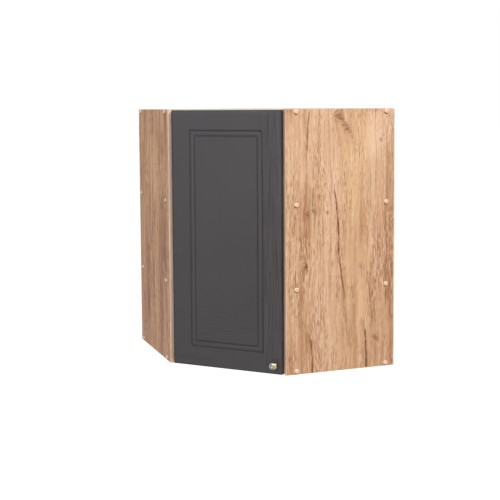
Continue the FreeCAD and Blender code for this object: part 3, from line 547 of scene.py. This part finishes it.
def oak_edge():
    """The narrow band glued on the end panels' front edges, paler than their faces."""
    made, mix, shader = finish("oak_edge", Roughness=0.42, Specular_IOR_Level=0.4)
    place, _ = mix.own_place()
    x, y, up = mix.split(place)
    figure = mix.shared(OAK_FIGURE, S=mix.sub(x, y), H=up, Seed=9.0, Shortness=0.6)
    tone = mix.add(figure["Tone"], 0.18)
    shade = mix.ramp(tone, 0.1, 0.6, smooth=False)
    color = mix.blend(shade, screen_color(210, 168, 136), screen_color(244, 208, 180))
    shine = mix.ramp(tone, 0.5, 1.0, smooth=False)
    color = mix.blend(shine, color, screen_color(254, 230, 208))
    mix.feed(shader.inputs["Base Color"], color)
    mix.relief(shader, figure["Fibre"], 0.25, 0.0003)
    return made


# ---------------------------------------------------------------- boards and door


def across_front(mix, x, y):
    """The measure of along_front, worked out by nodes."""
    aside = mix.sub(mix.add(x, WALL_LENGTH), mix.add(y, END_DEPTH))
    return mix.mul(aside, DIAGONAL_TURN)


def cream_laminate(name, bare_sides):
    """Cream laminate with a fine pearl texture; a board's hidden sides are bare chips."""
    made, mix, shader = finish(name, Roughness=0.60, Specular_IOR_Level=0.25)
    place, normal = mix.own_place()
    x, y, up = mix.split(place)
    cloud = mix.noise(place, scale=9.0, detail=3.0)
    color = mix.blend(cloud, screen_color(236, 226, 205), screen_color(243, 235, 217))
    pearl = mix.noise(place, scale=1400.0, detail=2.0)
    color = mix.blend(mix.mul(pearl, 0.15), color, screen_color(226, 215, 194))
    if bare_sides:
        _, _, facing_up = mix.split(normal)
        side = mix.ramp(mix.math("ABSOLUTE", facing_up), 0.3, 0.6, 1.0, 0.0)
        chips = mix.shared(BARE_CHIPS, X=x, Y=y, Z=up)
        color = mix.blend(side, color, chips["Color"])
    mix.feed(shader.inputs["Base Color"], color)
    mix.relief(shader, pearl, 0.2, 0.0002)
    return made


def back_fibreboard():
    """Thin fibreboard: cream lacquer on the room side, brown pressed fibres behind."""
    made, mix, shader = finish("back_fibreboard", Roughness=0.62)
    place, normal = mix.own_place()
    facing_x, facing_y, _ = mix.split(normal)
    fibres = mix.noise(place, scale=260.0, detail=5.0, rough=0.7)
    clouds = mix.noise(place, scale=14.0, detail=3.0)
    brown = mix.blend(fibres, screen_color(112, 84, 60), screen_color(160, 126, 94))
    brown = mix.blend(mix.mul(clouds, 0.55), brown, screen_color(96, 72, 52))
    cream = mix.blend(clouds, screen_color(236, 228, 211), screen_color(243, 237, 222))
    inside = mix.ramp(mix.least(facing_x, facing_y), -0.9, -0.6, 1.0, 0.0)
    mix.feed(shader.inputs["Base Color"], mix.blend(inside, brown, cream))
    mix.relief(shader, fibres, 0.3, 0.0003)
    return made


def door_film():
    """Matt graphite film embossed like ash; the door's inner face is white melamine."""
    # where one kind of embossing gives way to the next: across the door, and up it
    field_fade = (DOOR_LEFT + 0.225, DOOR_LEFT + 0.262)
    stile_fade = (DOOR_LEFT + 0.258, DOOR_LEFT + 0.285)
    low_field_fade = (0.10, 0.23)
    hinge_shade_line = (DOOR_LEFT + 0.0022, DOOR_LEFT + 0.0040)
    end_shade_width, side_shade_width = 0.0030, 0.0024
    made, mix, shader = finish("door_film", Specular_IOR_Level=0.3)
    place, normal = mix.own_place()
    x, y, up = mix.split(place)
    facing_x, facing_y, _ = mix.split(normal)
    across = across_front(mix, x, y)
    drift = mix.swing(mix.grain(across, up, 2.0, 8.0, 3.0), 0.02)
    wander = mix.add(across, drift)
    upright = mix.grain(wander, up, 1.0, 420.0, 5.0, detail=4.0, rough=0.65)
    level = mix.grain(mix.add(up, drift), across, 6.0, 330.0, 5.0, detail=4.0, rough=0.65)
    field = mix.ramp(across, *field_fade, 1.0, 0.0)
    low_field = mix.mul(field, mix.ramp(up, *low_field_fade, 1.0, 0.0))
    stile = mix.ramp(across, *stile_fade)
    lines = mix.add(
        mix.mul(mix.swing(upright, 1.0), mix.ramp(stile, 0.0, 1.0, 0.25, 4.2)),
        mix.mul(mix.swing(level, 1.0), low_field, 1.3),
    )
    cloud = mix.noise(mix.point(across, 0.0, up), scale=5.0, detail=2.0)
    shade = mix.add(0.5, mix.swing(cloud, 0.5), mix.mul(lines, 1.6))
    # painted light: the film is painted lighter towards the top and darker towards the foot
    shade = mix.add(shade, mix.ramp(up, 0.0, HEIGHT, -0.30, 0.22, smooth=False))
    shade = mix.ramp(shade, -0.2, 1.2, smooth=False)
    color = mix.blend(shade, screen_color(60, 57, 60), screen_color(86, 83, 87))
    # painted shade: the film is painted near black round the door's arris, for the shade in
    # the gaps at its top and foot and down the hinge side, and a little darker along its
    # sides
    ends = mix.shared(NEAR_END, Place=up, Low=DOOR_FOOT, High=DOOR_TOP, Fade=end_shade_width)
    sides = mix.shared(NEAR_END, Place=across, Low=DOOR_LEFT, High=DOOR_RIGHT, Fade=side_shade_width)
    ends = mix.ramp(ends["Mask"], 0.1, 0.6)
    hinge_side_shade = mix.ramp(across, *hinge_shade_line, 1.0, 0.0)
    rim = mix.most(ends, mix.mul(sides["Mask"], 0.35), hinge_side_shade)
    color = mix.blend(mix.mul(rim, 0.92), color, screen_color(18, 14, 13))
    white = mix.noise(place, scale=10.0, detail=2.0)
    white = mix.blend(white, screen_color(232, 230, 224), screen_color(241, 239, 233))
    inward = mix.mul(mix.add(facing_x, facing_y), DIAGONAL_TURN)
    color = mix.blend(mix.ramp(inward, 0.9, 0.97), color, white)
    mix.feed(shader.inputs["Base Color"], color)
    mix.feed(shader.inputs["Roughness"], mix.add(0.48, mix.mul(lines, 0.5)))
    mix.relief(shader, lines, 0.3, 0.0003)
    return made


# ---------------------------------------------------------------- fittings


EVENLY_BRUSHED = (60.0, 60.0, 60.0)


def plated_metal(name, low, high, rough, brushed=EVENLY_BRUSHED, relief=0.1, grime=0.0):
    """Plated metal: a faint uneven sheen, fine brush marks and grime.

    low and high are its darker and lighter colour as seen on a screen. brushed is how
    close the marks stand along x, y and up, so they are long where it is small.
    """
    made, mix, shader = finish(name, Metallic=1.0)
    place, _ = mix.own_place()
    x, y, up = mix.split(place)
    where = mix.point(*[mix.mul(axis, close) for axis, close in zip((x, y, up), brushed)])
    lines = mix.noise(where, scale=10.0, detail=4.0, rough=0.6)
    blot = mix.noise(place, scale=90.0, detail=3.0)
    color = mix.blend(mix.ramp(blot, 0.3, 0.7), screen_color(*low), screen_color(*high))
    if grime:
        dirt = mix.mul(mix.ramp(lines, 0.5, 0.8), grime)
        color = mix.blend(dirt, color, screen_color(70, 66, 52))
    mix.feed(shader.inputs["Base Color"], color)
    mix.feed(shader.inputs["Roughness"], mix.add(rough - 0.05, mix.mul(lines, 0.12)))
    mix.relief(shader, lines, relief, 0.0001)
    return made


def knob_metal():
    """Aged brass: bright on its crown, with patina in the ring, darker at the crown's rim,
    and painted shade underneath.
    """
    ring_radius, ring_fade = 0.0052, (0.0006, 0.0022)
    rim_from, crown_from = (0.0080, 0.0108), (0.026, 0.030)
    made, mix, shader = finish("knob_metal", Metallic=1.0)
    place, normal = mix.own_place()
    x, y, up = mix.split(place)
    _, _, facing_up = mix.split(normal)
    across = across_front(mix, x, y)
    # outward counts from the line between the end panels' front corners
    outward = mix.mul(mix.add(x, y, WALL_LENGTH + END_DEPTH), -DIAGONAL_TURN)
    aside = mix.sub(across, KNOB_ACROSS)
    above = mix.sub(up, KNOB_LEVEL)
    reach = mix.math("SQRT", mix.add(mix.mul(aside, aside), mix.mul(above, above)))
    from_ring = mix.math("ABSOLUTE", mix.sub(reach, ring_radius))
    ring = mix.ramp(from_ring, *ring_fade, 1.0, 0.0)
    rim = mix.mul(mix.ramp(reach, *rim_from), mix.ramp(outward, *crown_from))
    # painted shade: the underside is painted darker, as if in shadow
    painted_underside_shade = mix.ramp(facing_up, -0.75, 0.35, 1.0, 0.0)
    blot = mix.noise(place, scale=260.0, detail=4.0, rough=0.65)
    patina_and_shade = mix.most(mix.mul(ring, 0.55), mix.mul(rim, 0.6), mix.mul(painted_underside_shade, 0.85))
    patina_and_shade = mix.add(patina_and_shade, mix.swing(blot, 0.5))
    darkening = mix.ramp(patina_and_shade, 0.0, 0.9)
    color = mix.blend(darkening, screen_color(188, 186, 156), screen_color(46, 45, 34))
    mix.feed(shader.inputs["Base Color"], color)
    mix.feed(shader.inputs["Roughness"], mix.add(0.16, mix.mul(patina_and_shade, 0.22)))
    mix.relief(shader, blot, 0.08, 0.0001)
    return made


def cap_plastic():
    """Moulded caps in the decor's colour, each a little different from the next."""
    made, mix, shader = finish("cap_plastic", Roughness=0.22, Specular_IOR_Level=0.75)
    place, normal = mix.own_place()
    _, _, facing_up = mix.split(normal)
    which = mix.noise(place, scale=5.0, detail=0.0)
    fine = mix.noise(place, scale=900.0, detail=2.0)
    color = mix.blend(which, screen_color(236, 190, 154), screen_color(250, 212, 180))
    color = mix.blend(mix.mul(fine, 0.2), color, screen_color(208, 160, 126))
    # painted light: the dome's top is painted paler as a highlight, and its lower rim is
    # painted dark as shade
    painted_top_highlight = mix.ramp(facing_up, 0.02, 0.45)
    color = mix.blend(mix.mul(painted_top_highlight, 0.8), color, screen_color(255, 238, 220))
    painted_under_shade = mix.ramp(facing_up, -0.50, -0.02, 1.0, 0.0)
    color = mix.blend(mix.mul(painted_under_shade, 0.92), color, screen_color(96, 58, 36))
    mix.feed(shader.inputs["Base Color"], color)
    mix.relief(shader, fine, 0.08, 0.0001)
    return made


def buffer_soft():
    """Clear soft bumpers stuck on the door's inner corners."""
    made, mix, shader = finish(
        "buffer_soft", Roughness=0.25, Transmission_Weight=0.35, IOR=1.45
    )
    place, _ = mix.own_place()
    fine = mix.noise(place, scale=700.0, detail=2.0)
    color = mix.blend(fine, screen_color(226, 228, 224), screen_color(240, 241, 238))
    mix.feed(shader.inputs["Base Color"], color)
    mix.relief(shader, fine, 0.05, 0.0001)
    return made


# The finish of each material slot; the two oak end panels have one each, by node.
FINISHES = {
    "oak_edge": oak_edge(),
    "cream_board": cream_laminate("cream_board", True),
    "cream_edge": cream_laminate("cream_edge", False),
    "back_fibreboard": back_fibreboard(),
    "door_film": door_film(),
    "knob_metal": knob_metal(),
    "cap_plastic": cap_plastic(),
    "zinc_screws": plated_metal(
        "zinc_screws", (190, 192, 190), (212, 214, 212), 0.32, grime=0.2
    ),
    "nail_steel": plated_metal(
        "nail_steel", (170, 170, 168), (190, 190, 188), 0.35, grime=0.3
    ),
    "hanger_steel": plated_metal(
        "hanger_steel", (178, 182, 186), (204, 208, 210), 0.38,
        brushed=(8.0, 8.0, 120.0), relief=0.15,
    ),
    "hinge_nickel": plated_metal(
        "hinge_nickel", (196, 194, 188), (216, 214, 208), 0.24,
        brushed=(20.0, 20.0, 90.0), relief=0.06,
    ),
    "pin_steel": plated_metal(
        "pin_steel", (186, 186, 184), (206, 206, 204), 0.22, relief=0.04
    ),
    "buffer_soft": buffer_soft(),
}
OAK_PANELS = {
    "side_panel_right": oak_panel(
        "oak_right", seed=1.0, shortness=1.0, contrast=1.0,
        cracks=RIGHT_CRACKS, knots=RIGHT_KNOTS, planks=RIGHT_PLANKS, patches=RIGHT_PATCHES,
        colors=(
            screen_color(150, 97, 62),
            screen_color(211, 165, 128),
            screen_color(243, 206, 175),
            screen_color(238, 199, 156),
        ),
    ),
    "side_panel_left": oak_panel(
        "oak_left", seed=6.0, shortness=0.8, contrast=1.25,
        cracks=LEFT_CRACKS, knots=LEFT_KNOTS, planks=LEFT_PLANKS, patches=LEFT_PATCHES,
        colors=(
            screen_color(140, 85, 50),
            screen_color(213, 158, 112),
            screen_color(245, 198, 154),
            screen_color(237, 188, 136),
        ),
    ),
}

for part in frame["record"]["subparts"]:
    thing = frame["nodes"][part["node"]]
    made_of = OAK_PANELS.get(part["node"]) or FINISHES[part["material_slot"]]
    for slot in thing.material_slots:
        slot.material = made_of

# ---------------------------------------------------------------- floor, light, camera

FLOOR_LEVEL = -1.25
FLOOR_REACH = 60.0


def seen_directly(mix):
    """1 for what the camera sees, straight or in a gloss or through glass."""
    ray = mix.node("ShaderNodeLightPath")
    return mix.most(
        ray.outputs["Is Camera Ray"],
        ray.outputs["Is Glossy Ray"],
        ray.outputs["Is Transmission Ray"],
    )


def floor():
    """A pale floor below the hanging cabinet, lifted to white where it is seen."""
    made, mix, shader = finish(
        "pale_floor", Roughness=0.9, Specular_IOR_Level=0.1, Emission_Strength=0.72
    )
    place, _ = mix.own_place()
    cloud = mix.noise(place, scale=0.6, detail=2.0)
    color = mix.blend(cloud, screen_color(248, 247, 246), screen_color(252, 251, 250))
    mix.feed(shader.inputs["Base Color"], color)
    mix.feed(shader.inputs["Emission Color"], seen_directly(mix))
    mesh = bpy.data.meshes.new("floor")
    near, far = -FLOOR_REACH, FLOOR_REACH
    corners = [(near, near), (far, near), (far, far), (near, far)]
    mesh.from_pydata([(x, y, FLOOR_LEVEL) for x, y in corners], [], [(0, 1, 2, 3)])
    mesh.materials.append(made)
    thing = bpy.data.objects.new("floor", mesh)
    bpy.context.scene.collection.objects.link(thing)


def soft_light(name, place, target, size, power, tint):
    """A lamp behind a soft screen of a given size, turned to its target."""
    lamp = bpy.data.lights.new(name, "AREA")
    lamp.shape = "RECTANGLE"
    lamp.size, lamp.size_y = size
    lamp.energy = power
    lamp.color = tint
    thing = bpy.data.objects.new(name, lamp)
    bpy.context.scene.collection.objects.link(thing)
    thing.location = place
    thing.rotation_mode = "QUATERNION"
    thing.rotation_quaternion = (Vector(target) - Vector(place)).to_track_quat("-Z", "Y")


def studio_room():
    """A white room to the eye, and a softer one as light."""
    world = bpy.data.worlds.new("studio_room")
    bpy.context.scene.world = world
    world.use_nodes = True
    mix = Mixing(world.node_tree)
    shown = world.node_tree.nodes["Background"]
    shown.inputs["Color"].default_value = (1.0, 1.0, 1.0, 1.0)
    shown.inputs["Strength"].default_value = 1.0
    filling = mix.node("ShaderNodeBackground")
    filling.inputs["Color"].default_value = (1.0, 0.985, 0.975, 1.0)
    filling.inputs["Strength"].default_value = 0.32
    both = mix.node("ShaderNodeMixShader")
    mix.feed(both.inputs[0], seen_directly(mix))
    mix.feed(both.inputs[1], filling.outputs[0])
    mix.feed(both.inputs[2], shown.outputs[0])
    mix.feed(world.node_tree.nodes["World Output"].inputs["Surface"], both.outputs[0])


def camera():
    """A little above the cabinet's top, before its left half, looking slightly right."""
    place = Vector((-1.3623, -3.1129, 0.7328))
    yaw, pitch, roll = math.radians(20.234), math.radians(-4.751), math.radians(-0.360)
    # fitted to the photograph's 500 by 500 frame
    focal_pixels, picture_pixels, sensor = 1028.7, 500.0, 36.0
    ahead = Vector((
        math.sin(yaw) * math.cos(pitch), math.cos(yaw) * math.cos(pitch), math.sin(pitch)
    ))
    level = Vector((math.cos(yaw), -math.sin(yaw), 0.0))
    above = level.cross(ahead)
    right = level * math.cos(roll) + above * math.sin(roll)
    up = above * math.cos(roll) - level * math.sin(roll)
    data = bpy.data.cameras.new("camera")
    data.sensor_width = sensor
    data.lens = focal_pixels / picture_pixels * sensor
    # a small shift, so that the uprights converge less, as in the photograph
    data.shift_y = -0.12
    thing = bpy.data.objects.new("camera", data)
    bpy.context.scene.collection.objects.link(thing)
    turn = Matrix((right, up, -ahead)).transposed().to_4x4()
    thing.matrix_world = Matrix.Translation(place) @ turn
    bpy.context.scene.camera = thing


floor()
studio_room()
soft_light(
    "key", place=(0.65, -3.50, 3.70), target=(-0.2, -0.4, 0.45), size=(1.5, 1.5),
    power=127.0, tint=(1.0, 0.985, 0.96),
)
soft_light(
    "side", place=(-2.9, -2.6, 1.7), target=(-0.45, -0.35, 0.4), size=(1.2, 1.6),
    power=32.0, tint=(1.0, 0.985, 0.97),
)
camera()
bpy.context.scene.view_settings.view_transform = "Standard"
